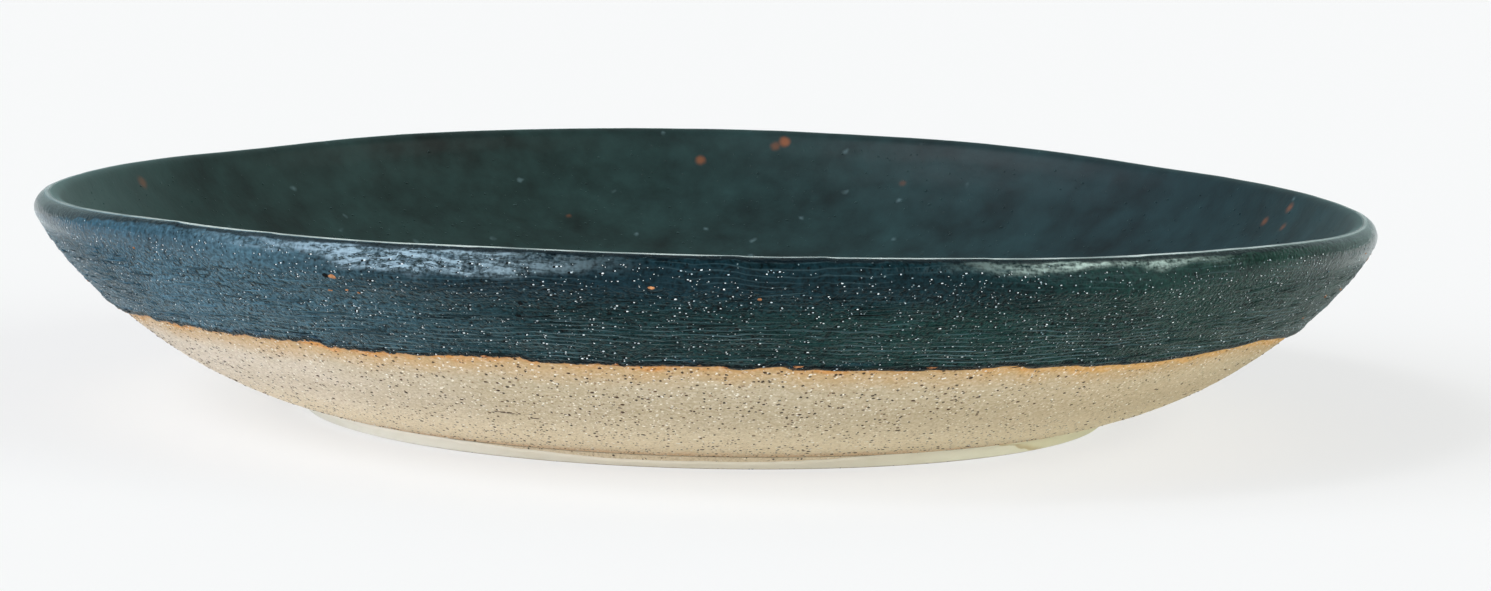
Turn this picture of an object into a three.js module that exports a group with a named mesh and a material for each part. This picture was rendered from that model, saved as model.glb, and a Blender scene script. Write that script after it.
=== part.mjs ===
// A hand-thrown stoneware platter: a low bowl of speckled clay on a turned foot ring, glazed dark blue
// inside and over the lip, down to a freehand line on the outside, with pale slip round the foot.
// Millimetres, +Z up. The origin is on the table, under the centre of the foot ring.
//
// The clay's surface is a strip of rows that runs from the foot, up the outside, over the lip and down the
// inside, and bends a little differently at every angle. Each piece is sewn from sheets of such rows. A coat
// of glaze is the clay's own sheet turned round, and the same rows one coat further out, so that clay and
// glaze share every vertex where they touch.

import * as THREE from "three";
import { mergeGeometries, mergeVertices } from "three/addons/utils/BufferGeometryUtils.js";

// Overall sizes, over the glaze
const RIM_DIAMETER = 300;
const RIM_HEIGHT = 49;

// Clay: thin at the lip, thicker where the wall turns into the floor
const LIP_THICKNESS = 5.2;
const ROOT_THICKNESS = 7.4;
const FLOOR_THICKNESS = 6;
const LIP_LEAN = 63; // degrees from level, where the wall runs into the lip
const ROOT_LEAN = 13; // degrees from level, where the wall leaves the foot
const LIP_PULL = 0.325; // how far the curve follows each lean, as a share of the wall's reach
const ROOT_PULL = 0.285;
const FLOOR_EASE = 11; // radial length of the curve from the flat floor into the wall

// Foot ring, a coil luted to the underside and turned
const FOOT_DIAMETER = 184; // at its top, where it meets the wall
const FOOT_HEIGHT = 3;
const FOOT_FLARE = 3; // the outside leans in by this much, down to the table
const CONTACT_WIDTH = 6; // the bare face that stands on the table
const RECESS_LEAN = 2.5; // the inside leans out by this much, down to the table
const CONTACT_ROUNDING = 0.4;

// Glaze on the inside, the lip and the upper wall
const GLAZE = 0.5;
const BEAD = 0.25; // extra thickness of the roll along the outside coat's lower edge
const BEAD_WIDTH = 2.4;
const BEAD_TOE = 0.35; // how far up the wall the edge takes to reach its full thickness
const GLAZE_LINE = 25.8; // height of the outside coat's lower edge

// Pale slip round the foot
const SLIP = 0.3;
const SLIP_LINE = 1.7; // height of its upper edge
const SLIP_TAPER = 0.3; // height over which it feathers out, above and below
const WIPED = 0.2; // the table face is wiped clean up to this height

// What the hand and the kiln did, as waves round the platter. Crests are in degrees from the right,
// anticlockwise seen from above.
const RIM_SWAY = [
  { waves: 2, height: 1.84, crest: 86 }, // the saddle that the firing left
  { waves: 3, height: 0.45, crest: 90 },
  { waves: 7, height: 0.16, crest: 12 },
  { waves: 11, height: 0.1, crest: 25 },
];
const GLAZE_LINE_SWAY = [
  { waves: 1, height: 0.45, crest: 232 },
  { waves: 3, height: 0.3, crest: 40 },
  { waves: 8, height: 0.28, crest: 10 },
  { waves: 13, height: 0.22, crest: 3 },
];
const SLIP_LINE_SWAY = [
  { waves: 1, height: 0.35, crest: 330 },
  { waves: 3, height: 0.2, crest: 70 },
];

// Facets
const SEGMENTS = 64;
const BELT_STEPS = 5; // bare clay, between the foot and the glaze line
const BAND_STEPS = 5; // glazed wall, between the bead and the lip
const OUTER_LIP_STEPS = 4;
const INNER_LIP_STEPS = 3;
const WALL_STEPS = 10; // inside, between the lip and the floor
const EASE_STEPS = 3;

const FOOT_RADIUS = FOOT_DIAMETER / 2;
const CLAY_RADIUS = RIM_DIAMETER / 2 - GLAZE;
const CLAY_HEIGHT = RIM_HEIGHT - GLAZE;
const CONTACT_OUTER = FOOT_RADIUS - FOOT_FLARE;
const CONTACT_INNER = CONTACT_OUTER - CONTACT_WIDTH;
const FLOOR_LEVEL = FOOT_HEIGHT + FLOOR_THICKNESS;
const TOP = 90; // the lip's crest, in degrees round the lip

const { degToRad, lerp } = THREE.MathUtils;
const at = (r, z) => new THREE.Vector2(r, z);
const heading = (degrees) => at(Math.cos(degToRad(degrees)), Math.sin(degToRad(degrees)));
const spread = (steps, from, to) => Array.from({ length: steps + 1 }, (_, i) => lerp(from, to, i / steps));
const upTo = (steps, from, to) => spread(steps, from, to).slice(1);

// A row is one point of the profile, which way is out of the clay there, and how thick its coat is.
const row = (point, out, coat = 0) => ({ point, out, coat });

// The outside of the wall is one curve, from the foot's upper corner to the lip.
const lipRadius = LIP_THICKNESS / 2;
const lipCentre = at(CLAY_RADIUS - lipRadius, CLAY_HEIGHT - lipRadius);
const wallFoot = at(FOOT_RADIUS, FOOT_HEIGHT);
const wallTop = lipCentre.clone().addScaledVector(heading(LIP_LEAN - TOP), lipRadius);
const wallReach = wallFoot.distanceTo(wallTop);
const wall = new THREE.CubicBezierCurve(
  wallFoot,
  wallFoot.clone().addScaledVector(heading(ROOT_LEAN), ROOT_PULL * wallReach),
  wallTop.clone().addScaledVector(heading(LIP_LEAN), -LIP_PULL * wallReach),
  wallTop,
);
const wallLength = wall.getLength();

// The outside and the inside of the wall at a share of its length.
function outsideAt(share, coat) {
  const tangent = wall.getTangentAt(share);
  return row(wall.getPointAt(share), at(tangent.y, -tangent.x), coat);
}

function insideAt(share) {
  const { point, out } = outsideAt(share);
  const thickness = lerp(ROOT_THICKNESS, LIP_THICKNESS, share);
  return row(point.clone().addScaledVector(out, -thickness), out.clone().negate(), GLAZE);
}

function lipAt(degrees) {
  const out = heading(degrees);
  return row(lipCentre.clone().addScaledVector(out, lipRadius), out, GLAZE);
}

// The curve from the wall's inner foot on to the flat floor.
const easeStart = insideAt(0).point;
const easeTurn = at(easeStart.x - (easeStart.y - FLOOR_LEVEL) / Math.tan(degToRad(ROOT_LEAN)), FLOOR_LEVEL);
const ease = new THREE.QuadraticBezierCurve(easeStart, easeTurn, at(easeTurn.x - FLOOR_EASE, FLOOR_LEVEL));

function easeAt(share) {
  const tangent = ease.getTangentAt(share);
  return row(ease.getPointAt(share), at(tangent.y, -tangent.x), GLAZE);
}

// The share of the wall's length at which its outside reaches a height.
function shareAtHeight(z) {
  let low = 0;
  let high = 1;
  for (let halving = 0; halving < 30; halving++) {
    const middle = (low + high) / 2;
    if (wall.getPointAt(middle).y < z) low = middle;
    else high = middle;
  }
  return low;
}

const sway = (waves, angle) =>
  waves.reduce((sum, wave) => sum + wave.height * Math.cos(wave.waves * (angle - degToRad(wave.crest))), 0);

// The clay body's surface at an angle. Neighbouring strips share their last and first rows.
function body(angle) {
  const edge = shareAtHeight(GLAZE_LINE + sway(GLAZE_LINE_SWAY, angle));
  const above = (distance) => edge + distance / wallLength;
  return {
    belt: spread(BELT_STEPS, 0, edge).map((share) => outsideAt(share)),
    outside: [
      outsideAt(edge),
      outsideAt(above(BEAD_TOE), GLAZE),
      outsideAt(above(BEAD_WIDTH / 2), GLAZE + BEAD),
      ...spread(BAND_STEPS, above(BEAD_WIDTH), 1).map((share) => outsideAt(share, GLAZE)),
      ...upTo(OUTER_LIP_STEPS, LIP_LEAN - TOP, TOP).map(lipAt),
    ],
    inside: [
      ...spread(INNER_LIP_STEPS, TOP, LIP_LEAN + TOP).map(lipAt),
      ...upTo(WALL_STEPS, 1, 0).map(insideAt),
      ...upTo(EASE_STEPS, 0, 1).map(easeAt),
      row(at(0, FLOOR_LEVEL), at(0, 1), GLAZE),
    ],
    underside: [row(at(0, FOOT_HEIGHT)), recessCorner],
    footJoint: [recessCorner, row(wallFoot)],
  };
}

// The foot ring's surface at an angle, from the recess down to the table and up to the wall.
const recessCorner = row(at(CONTACT_INNER - RECESS_LEAN, FOOT_HEIGHT));
const flankOut = at(FOOT_HEIGHT, -FOOT_FLARE).normalize();
const flankAt = (z, coat) => row(at(CONTACT_OUTER + (FOOT_FLARE * z) / FOOT_HEIGHT, z), flankOut, coat);

function foot(angle) {
  const slipEdge = SLIP_LINE + sway(SLIP_LINE_SWAY, angle);
  return {
    table: [
      recessCorner,
      row(at(CONTACT_INNER - (RECESS_LEAN * CONTACT_ROUNDING) / FOOT_HEIGHT, CONTACT_ROUNDING)),
      row(at(CONTACT_INNER + CONTACT_ROUNDING, 0)),
      row(at(CONTACT_OUTER - CONTACT_ROUNDING, 0)),
      flankAt(WIPED),
    ],
    flank: [
      flankAt(WIPED),
      flankAt(WIPED + SLIP_TAPER, SLIP),
      flankAt(slipEdge - SLIP_TAPER, SLIP),
      flankAt(slipEdge),
    ],
    top: [flankAt(slipEdge), row(wallFoot)],
  };
}

// The same strip, one coat further out.
const coated = (strip) => strip.map(({ point, out, coat }) => row(point.clone().addScaledVector(out, coat)));

// The joint between two coats, across their thickness at the lip's crest.
const crestJoint = (angle) => {
  const crest = body(angle).inside.slice(0, 1);
  return [...coated(crest), ...crest];
};

// The kiln lifts and drops the wall more, the nearer it is to the rim, and leaves the floor flat.
function fired({ x: r, y: z }, angle) {
  const share = Math.max(0, (r - FOOT_RADIUS) / (CLAY_RADIUS - FOOT_RADIUS));
  return [r * Math.cos(angle), r * Math.sin(angle), z + sway(RIM_SWAY, angle) * share];
}

// One open sheet: a lathe whose profile changes with the angle. It faces right of the way its rows run.
function sheet(stripAt) {
  const profile = stripAt(0).map(({ point }) => point);
  const geometry = new THREE.LatheGeometry(profile, SEGMENTS);
  const position = geometry.getAttribute("position");
  for (let column = 0; column <= SEGMENTS; column++) {
    const angle = ((column % SEGMENTS) / SEGMENTS) * 2 * Math.PI;
    const first = column * profile.length;
    stripAt(angle).forEach(({ point }, i) => position.setXYZ(first + i, ...fired(point, angle)));
  }
  geometry.deleteAttribute("normal");
  geometry.deleteAttribute("uv");
  return geometry;
}

function turned(geometry) {
  geometry.index.array.reverse();
  return geometry;
}

// A coat on a strip: its outer sheet, and the clay's own turned round.
const coat = (stripAt) => [sheet((angle) => coated(stripAt(angle))), turned(sheet(stripAt))];

const platter = new THREE.Group();

// Sheets whose edges meet all round make one closed piece.
function add(name, material, ...sheets) {
  const mesh = new THREE.Mesh(mergeVertices(mergeGeometries(sheets)), material);
  mesh.geometry.computeVertexNormals();
  mesh.name = name;
  platter.add(mesh);
}

const clay = new THREE.MeshStandardMaterial({ color: 0xc8b794, roughness: 0.85, metalness: 0 });
const blueGlaze = new THREE.MeshStandardMaterial({ color: 0x2c4256, roughness: 0.35, metalness: 0 });
const darkGlaze = new THREE.MeshStandardMaterial({ color: 0x20303a, roughness: 0.3, metalness: 0 });
const paleSlip = new THREE.MeshStandardMaterial({ color: 0xdcd6bf, roughness: 0.6, metalness: 0 });

// Thrown in one piece: floor, wall and lip
const clayStrips = ["underside", "footJoint", "belt", "outside", "inside"];
add("clay_body", clay, ...clayStrips.map((strip) => sheet((angle) => body(angle)[strip])));

// Luted to the underside, and turned true
const footStrips = ["table", "flank", "top"];
add(
  "foot_ring",
  clay,
  ...footStrips.map((strip) => sheet((angle) => foot(angle)[strip])),
  turned(sheet((angle) => body(angle).footJoint)),
);

// Brushed on the outside, from the lip's crest down to the freehand line
add("outside_glaze", blueGlaze, ...coat((angle) => body(angle).outside), sheet(crestJoint));

// Poured inside, up to the lip's crest
add("liner_glaze", darkGlaze, ...coat((angle) => body(angle).inside), turned(sheet(crestJoint)));

// Brushed round the foot, and wiped off the face that stands on the table
add("foot_slip", paleSlip, ...coat((angle) => foot(angle).flank));

export default platter;
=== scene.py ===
# %% [markdown]
# # A hand-thrown stoneware platter
# The object is a wide, low bowl of speckled clay on a low foot ring. It is glazed dark blue inside, over
# the lip and down to a freehand line on the outside, and it has a band of smooth pale slip round the
# foot.
#
# The work goes in the potter's order: draw the profile, throw the clay, brush and pour the glazes, turn
# the foot, then strew what the clay and the kiln leave in the surface. At the end the platter is lit, and
# seen from one side a little above the table.
#
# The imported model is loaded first. It says where everything is, and each piece made below stands for one
# of its parts. Everything is in metres, with +Z up and the origin on the table, under the middle of the
# foot.

import math
import random

import bpy
from mathutils import Matrix, Vector
from mathutils.geometry import interpolate_bezier


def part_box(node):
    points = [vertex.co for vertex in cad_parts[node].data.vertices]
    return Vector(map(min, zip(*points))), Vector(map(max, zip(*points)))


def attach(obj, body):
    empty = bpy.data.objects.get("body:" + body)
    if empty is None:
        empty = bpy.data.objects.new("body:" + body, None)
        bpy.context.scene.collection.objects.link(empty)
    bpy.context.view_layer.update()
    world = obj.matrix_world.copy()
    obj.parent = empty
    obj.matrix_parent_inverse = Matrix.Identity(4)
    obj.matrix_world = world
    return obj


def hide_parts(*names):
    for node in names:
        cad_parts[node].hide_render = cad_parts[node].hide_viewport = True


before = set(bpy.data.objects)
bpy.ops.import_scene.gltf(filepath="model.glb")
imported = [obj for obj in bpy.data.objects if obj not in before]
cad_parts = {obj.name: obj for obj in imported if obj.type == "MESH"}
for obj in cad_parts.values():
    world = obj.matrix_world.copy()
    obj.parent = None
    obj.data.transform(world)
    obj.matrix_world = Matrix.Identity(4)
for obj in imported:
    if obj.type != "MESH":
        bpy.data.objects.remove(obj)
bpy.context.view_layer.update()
print("parts:", ", ".join(sorted(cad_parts)))

# %% [markdown]
# ## Wires
# Shapes and finishes below are both made of nodes. One function, `add`, adds any node. It takes the
# node's inputs in their order or by name, and sets each one or links it. What it gives back is a `Wire`,
# the value that leaves the node. Sums and products of wires add Math nodes, so that a formula in a tree
# reads like a formula.

# %% Add a node, read a colour
MM = 0.001
MATH, VECTOR, RANGE, MIX = "ShaderNodeMath", "ShaderNodeVectorMath", "ShaderNodeMapRange", "ShaderNodeMix"
SPLIT, JOIN = "ShaderNodeSeparateXYZ", "ShaderNodeCombineXYZ"


class Wire:
    """One value in a node tree. A name in brackets is another output of the same node."""

    def __init__(self, tree, socket):
        self.tree, self.socket = tree, socket

    def __getitem__(self, name):
        return Wire(self.tree, self.socket.node.outputs[name])

    def math(self, operation, *others, **settings):
        return add(self.tree, MATH, (self, *others), operation=operation, **settings)

    def __add__(self, other):
        return self.math("ADD", other)

    def __radd__(self, other):
        return self if other == 0 else self.math("ADD", other)

    def __sub__(self, other):
        return self.math("SUBTRACT", other)

    def __rsub__(self, other):
        return add(self.tree, MATH, (other, self), operation="SUBTRACT")

    def __mul__(self, other):
        return self.math("MULTIPLY", other)

    def __pow__(self, other):
        return self.math("POWER", other)

    def __abs__(self):
        return self.math("ABSOLUTE")

    __rmul__ = __mul__


def linear(code):
    """An sRGB hex colour as linear red, green, blue and opacity."""
    shares = [int(code[i : i + 2], 16) / 255 for i in (1, 3, 5)]
    return (*[s / 12.92 if s <= 0.04045 else ((s + 0.055) / 1.055) ** 2.4 for s in shares], 1)


def add(tree, kind, inputs=(), **settings):
    """Adds a node with its settings, and sets its inputs or links them to wires."""
    node = tree.nodes.new(kind)
    for name, value in settings.items():
        setattr(node, name, value)
    usable = [socket for socket in node.inputs if socket.enabled]
    for key, value in inputs.items() if isinstance(inputs, dict) else enumerate(inputs):
        socket = usable[key] if isinstance(key, int) else next(s for s in usable if s.name == key)
        if isinstance(value, Wire):
            tree.links.new(value.socket, socket)
        else:
            socket.default_value = linear(value) if str(value).startswith("#") else value
    return Wire(tree, next((socket for socket in node.outputs if socket.enabled), None))


def new_tree(name, inputs, output="Mesh", kind="Geometry"):
    """A geometry tree with named inputs and one output. Gives back the tree and its inputs."""
    tree = bpy.data.node_groups.new(name, "GeometryNodeTree")
    for label, socket_kind in inputs.items():
        tree.interface.new_socket(label, in_out="INPUT", socket_type=f"NodeSocket{socket_kind}")
    tree.interface.new_socket(output, in_out="OUTPUT", socket_type=f"NodeSocket{kind}")
    return tree, add(tree, "NodeGroupInput")


print("mid grey is", round(linear("#777777")[0], 3), "in linear light")

# %% [markdown]
# ## The potter's ribs
# A thrown form is one profile, turned. A potter holds a rib, a small board cut to the profile, against
# the spinning clay. Here a rib is a curve, with its distance from the axis along X and its height along
# Z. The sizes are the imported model's own. The outside rib runs from the foot up the wall and over the lip
# to its crest. The inside rib goes on from there, down the wall and across the floor to the middle. The
# clay is thickest at the root of the wall, where it has to hold the weight, and thins toward the lip.

# %% Draw the ribs
RIM_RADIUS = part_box("outside_glaze")[1].x
FOOT_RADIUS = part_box("foot_ring")[1].x
FOOT_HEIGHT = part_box("foot_ring")[1].z
GLAZE = 0.5 * MM  # the thickness of both coats
RIM_HEIGHT = 49 * MM
LIP_THICKNESS = 5.2 * MM
ROOT_THICKNESS = 7.4 * MM
FLOOR_LEVEL = FOOT_HEIGHT + 6 * MM
LIP_LEAN, ROOT_LEAN = 63, 13  # degrees up from level, at the lip and at the root of the wall
LIP_PULL, ROOT_PULL = 0.325, 0.285  # how far the wall keeps to these, as a share of its reach
FLOOR_EASE = 11 * MM  # how far the wall eases into the floor
FOOT_WIDTH = 11.5 * MM
WALL_STEPS, OUTER_LIP_STEPS, INNER_LIP_STEPS, EASE_STEPS = 240, 32, 20, 24


def heading(degrees):
    return Vector((math.cos(math.radians(degrees)), 0, math.sin(math.radians(degrees))))


def outward(before, after):
    along = (after - before).normalized()
    return Vector((along.z, 0, -along.x))


def arc(centre, radius, start, end, steps):
    return [centre + heading(start + (end - start) * i / steps) * radius for i in range(steps + 1)]


lip_radius = LIP_THICKNESS / 2
lip_centre = Vector((RIM_RADIUS - GLAZE - lip_radius, 0, RIM_HEIGHT - GLAZE - lip_radius))
wall_foot = Vector((FOOT_RADIUS, 0, FOOT_HEIGHT))
wall_top = lip_centre + heading(LIP_LEAN - 90) * lip_radius
reach = (wall_top - wall_foot).length
wall = interpolate_bezier(
    wall_foot,
    wall_foot + heading(ROOT_LEAN) * ROOT_PULL * reach,
    wall_top - heading(LIP_LEAN) * LIP_PULL * reach,
    wall_top,
    WALL_STEPS,
)
runs = [0]
for before, after in zip(wall, wall[1:]):
    runs.append(runs[-1] + (after - before).length)

inner_wall = []
for i, (point, run) in enumerate(zip(wall, runs)):
    out = outward(wall[max(i - 1, 0)], wall[min(i + 1, len(wall) - 1)])
    inner_wall.append(point - out * (ROOT_THICKNESS + (LIP_THICKNESS - ROOT_THICKNESS) * run / runs[-1]))
root = inner_wall[0]
turn = Vector((root.x - (root.z - FLOOR_LEVEL) / math.tan(math.radians(ROOT_LEAN)), 0, FLOOR_LEVEL))
flat = turn - Vector((FLOOR_EASE, 0, 0))
ease = interpolate_bezier(root, root.lerp(turn, 2 / 3), flat.lerp(turn, 2 / 3), flat, EASE_STEPS)
middle = Vector((0, 0, FLOOR_LEVEL))


def rib(name, points):
    """A profile as a curve object, for the trees to sample, and its length in mm."""
    curve = bpy.data.curves.new(name, "CURVE")
    curve.dimensions = "3D"
    spline = curve.splines.new("POLY")
    spline.points.add(len(points) - 1)
    for place, point in zip(spline.points, points):
        place.co = (*point, 1)
    length = sum((b - a).length for a, b in zip(points, points[1:])) / MM
    print(f"{name}: {len(points)} points, {length:.1f} mm")
    board = bpy.data.objects.new(name, curve)
    bpy.context.scene.collection.objects.link(board)
    return board, length


outside_points = wall + arc(lip_centre, lip_radius, LIP_LEAN - 90, 90, OUTER_LIP_STEPS)[1:]
inner_lip = arc(lip_centre, lip_radius, 90, LIP_LEAN + 90, INNER_LIP_STEPS)
inside_points = inner_lip + inner_wall[::-1][1:] + ease[1:] + [middle]
recess_corner = Vector((FOOT_RADIUS - FOOT_WIDTH, 0, FOOT_HEIGHT))
outside_rib, outside_length = rib("outside_rib", outside_points)
inside_rib, inside_length = rib("inside_rib", inside_points)
under_rib, under_length = rib("under_rib", [Vector((0, 0, FOOT_HEIGHT)), recess_corner, wall_foot])

# %% [markdown]
# ## Patterns
# Everything uneven on the platter comes from a few patterns. `band` is a soft step. `noise` is slow or
# fine waviness of a given size in mm, and drawing it out along one direction makes streaks of it. The
# patterns read the unrolled wall: round the platter in X and Y, and along the rib in Z. That way streaks
# run round it, and nothing has a seam.

# %% Bands, waves and noise
def band(value, low, high, bottom=0.0, top=1.0, shape="SMOOTHSTEP"):
    """Goes from bottom to top while the value goes from low to high, whichever of these is larger."""
    if low > high:
        low, high, bottom, top = high, low, top, bottom
    inputs = {"Value": value, "From Min": low, "From Max": high, "To Min": bottom, "To Max": top}
    return add(value.tree, RANGE, inputs, interpolation_type=shape)


def waves(angle, parts):
    """Slow waves round the platter, for each (how many, height, crest in degrees)."""
    return sum((angle * n - n * math.radians(crest)).math("COSINE") * height for n, height, crest in parts)


def noise(place, size, stretch=(1, 1, 1), detail=2.0, roughness=0.5, shift=0.0):
    """Smooth noise, mostly from -0.2 to 0.2, one lump each size mm. Stretch squeezes it along an axis."""
    scale = [s / size for s in stretch]
    moved = add(place.tree, VECTOR, (place, scale, (shift,) * 3), operation="MULTIPLY_ADD")
    inputs = {"Vector": moved, "Scale": 1.0, "Detail": detail, "Roughness": roughness}
    return add(place.tree, "ShaderNodeTexNoise", inputs) - 0.5


WALL_RADIUS = 142.0  # mm, half way up the glaze


def round_the_wall(angle, along, radius=WALL_RADIUS):
    """The place on the unrolled wall, in mm."""
    round_it = (angle.math("COSINE") * radius, angle.math("SINE") * radius, along)
    return add(angle.tree, JOIN, round_it)


# %% [markdown]
# ## Lines that a hand drew
# A brushed edge isn't a circle. It wanders slowly, and wherever one brush load runs over the last one it
# steps. Each step is written down as where it is and how far it goes, like notes for repeating a gesture.
# `laps` are the steps: the line climbs over some degrees, then drops back at once. `swells` are the
# places where the hand drifted. The front laps are where the photo shows them. The ones round the sides
# and the back are drawn by lot.

# %% The glaze line, in mm along the outside rib
def laps(degrees, parts):
    """For each (where, height, climb): up to the height over these degrees, and back in one degree."""
    return sum(
        band(degrees, where - climb, where, 0.0, height, "LINEAR")
        - band(degrees, where, where + 1, 0.0, height)
        for where, height, climb in parts
    )


def swells(degrees, parts):
    """For each (middle, height, width): a smooth swell that is gone this many degrees from its middle."""
    each = []
    for middle, height, width in parts:
        away = abs((degrees - middle).math("WRAP", 180.0, -180.0))
        each.append(band(away, 0.0, width, height, 0.0))
    return sum(each)


GLAZE_LINE = 48.3  # mm from the foot
FRONT_LAPS = [
    (235.6, 1.5, 7),
    (254.6, 1.0, 9),
    (271.3, 0.8, 8),
    (276.2, 1.1, 3.5),
    (297.2, 1.0, 8),
    (303, 0.5, 4),
]
LINE_SWELLS = [(268, 0.5, 60), (309, -0.6, 9), (329, 2.0, 16), (196, -0.5, 24), (110, 0.6, 40)]
RAGGED = [(225, 1.0, 32), (120, 1.0, 50), (20, 0.8, 30)]  # where the brush was nearly dry
hand = random.Random(7)
side_laps = []
where = 12.0
while where < 222:
    side_laps.append((where, hand.uniform(0.5, 1.5), hand.uniform(3, 9)))
    where += hand.uniform(9, 24)

glaze_line, given = new_tree("glaze_line", {"Angle": "Float"}, "Along", "Float")
angle = given["Angle"]
degrees = angle * math.degrees(1)
line = laps(degrees, FRONT_LAPS + side_laps) + swells(degrees, LINE_SWELLS) + GLAZE_LINE
place = round_the_wall(angle, 0.0)
dry = swells(degrees, RAGGED)
line = line + noise(place, 9) * 1.2
line = line + noise(place, 3.0) * (dry * 1.6 + 0.5)
line = line + noise(place, 1.4) * (dry + 0.3)
add(glaze_line, "NodeGroupOutput", (line,))
print("brush laps round the platter:", len(FRONT_LAPS + side_laps))

# %% [markdown]
# ## One sheet, turned
# All five big pieces are sewn from sheets. A sheet starts as a flat grid. Its rows lie along the rib and
# its columns go round. Each point looks up its place on the rib, steps out of the clay by the coat's
# thickness there, and is turned to its angle. Then it gets what the wheel and the kiln did to the whole
# pot: slow unevenness, a rim a little out of round, the saddle that the firing left in it, and small
# kinks where a fingertip lifted off the wet lip. The group also stores two attributes that the finishes
# read: the place on the unrolled wall, and how far above the glaze line a point lies. A sheet that no
# glaze comes near, such as the underside, is given a place far below.

# %% The turned sheet
UNEVENNESS = 0.6  # in mm, as every height below is. Places and widths are in degrees.
DRAWN_IN, SUNK = 0.6, 0.07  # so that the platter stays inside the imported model's box
OUT_OF_ROUND = [(1, 0.3, 180), (2, 0.45, 90)]
RIM_SWAY = [(2, 1.84, 86), (3, 0.45, 90), (7, 0.16, 12), (11, 0.1, 25)]
HOLLOWS = [(196, -1.2, 30), (352, -0.8, 34)]
KINKS = [
    (224, 0.35, 4),
    (234.5, 0.3, 3),
    (252, -0.2, 4),
    (272, 0.28, 3),
    (278.5, 0.35, 4),
    (291, 0.25, 5),
    (305, -0.2, 4),
]


def unrolled(tree):
    """Where a grid point is: its share of the way along the rib, and its angle round the platter."""
    corner = add(tree, SPLIT, (add(tree, "GeometryNodeInputPosition"),))
    return corner["X"] + 0.5, corner["Y"] * (2 * math.pi) + math.pi


def store(mesh, name, value, kind):
    inputs = {"Geometry": mesh, "Name": name, "Value": value}
    return add(mesh.tree, "GeometryNodeStoreNamedAttribute", inputs, data_type=kind, domain="POINT")


sheet_inputs = {"Rib": "Geometry", "Rows": "Int", "Columns": "Int", "Flip": "Bool"}
sheet_inputs |= {label: "Float" for label in ("Along", "Offset", "Unrolled radius", "Below")}
turned_sheet, given = new_tree("turned_sheet", sheet_inputs)
share, angle = unrolled(turned_sheet)
grid_size = {"Size X": 1.0, "Size Y": 1.0, "Vertices X": given["Rows"], "Vertices Y": given["Columns"]}
grid = add(turned_sheet, "GeometryNodeMeshGrid", grid_size)
edge = add(turned_sheet, "GeometryNodeGroup", {"Angle": angle}, node_tree=glaze_line)
pattern_height = given["Along"] - given["Below"]
pattern_place = round_the_wall(angle, pattern_height, given["Unrolled radius"])
grid = store(grid, "wall_mm", pattern_place, "FLOAT_VECTOR")
grid = store(grid, "above_line", pattern_height - edge, "FLOAT")

on_rib = {"Curves": given["Rib"], "Length": given["Along"] * MM}
sample = add(turned_sheet, "GeometryNodeSampleCurve", on_rib, mode="LENGTH")
out = add(turned_sheet, VECTOR, ((0, 1, 0), sample["Tangent"]), operation="CROSS_PRODUCT")
step = add(turned_sheet, VECTOR, {0: out, "Scale": given["Offset"] * MM}, operation="SCALE")
profile = add(turned_sheet, VECTOR, (sample["Position"], step), operation="ADD")
profile = add(turned_sheet, SPLIT, (profile,))
radius, height = profile["X"], profile["Z"]

rise_share = {"Value": radius, "From Min": FOOT_RADIUS, "From Max": RIM_RADIUS - GLAZE}
lift = add(turned_sheet, RANGE, rise_share, clamp=False).math("MAXIMUM", 0.0)
degrees = angle * math.degrees(1)
around = round_the_wall(angle, height * (1 / MM))
bulge = noise(around, 34, (1, 1, 0.6), detail=3) * UNEVENNESS + waves(angle, OUT_OF_ROUND) - DRAWN_IN
hollow = swells(degrees, HOLLOWS) * band(lift, 0.25, 0.6) * band(lift, 1.0, 0.75)
radius = radius + (bulge + hollow) * lift * MM
droop = noise(around, 26, (1, 1, 0.3), detail=2, shift=40) * 0.4 - SUNK
kinks = laps(degrees, KINKS) * band(lift, 0.93, 1.0)
height = height + (waves(angle, RIM_SWAY) + droop + kinks) * lift * MM
spun = add(turned_sheet, JOIN, {"X": radius, "Z": height})
spun = add(turned_sheet, "ShaderNodeVectorRotate", {"Vector": spun, "Angle": angle}, rotation_type="Z_AXIS")
placed = add(turned_sheet, "GeometryNodeSetPosition", {"Geometry": grid, "Position": spun})
turned_over = add(turned_sheet, "GeometryNodeFlipFaces", (placed,))
chosen = {"Switch": given["Flip"], "False": turned_over, "True": placed}
faced = add(turned_sheet, "GeometryNodeSwitch", chosen, input_type="GEOMETRY")
add(turned_sheet, "NodeGroupOutput", (faced,))
print("turned_sheet:", len(turned_sheet.nodes), "nodes")

# %% [markdown]
# ## From tree to mesh
# Each piece is an empty mesh with one Geometry Nodes modifier. The modifier's inputs are set by
# identifier before it is first evaluated. The result is copied out as a plain mesh and the modifier goes,
# so what is left is an ordinary object at the origin. The volume is printed because it tells two things
# at once: how much clay or glaze the piece holds, and that its faces look outward, since it would be
# below nothing if they didn't.

# %% Sew the sheets, run the tree
SEAM = 0.003 * MM  # points this close are one


def sheet(board, rows, columns, along, thickness, flip=False, radius=WALL_RADIUS, below=0.0):
    """One turned sheet. Along and thickness are in mm, and may change from point to point. Radius and below
    move the place that the finishes read, for a side that isn't the wall."""
    curve = add(board.tree, "GeometryNodeObjectInfo", (board,))["Geometry"]
    inputs = {"Rib": curve, "Rows": rows, "Columns": columns, "Flip": flip}
    inputs |= {"Along": along, "Offset": thickness, "Unrolled radius": radius, "Below": below}
    return add(board.tree, "GeometryNodeGroup", inputs, node_tree=turned_sheet)


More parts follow.
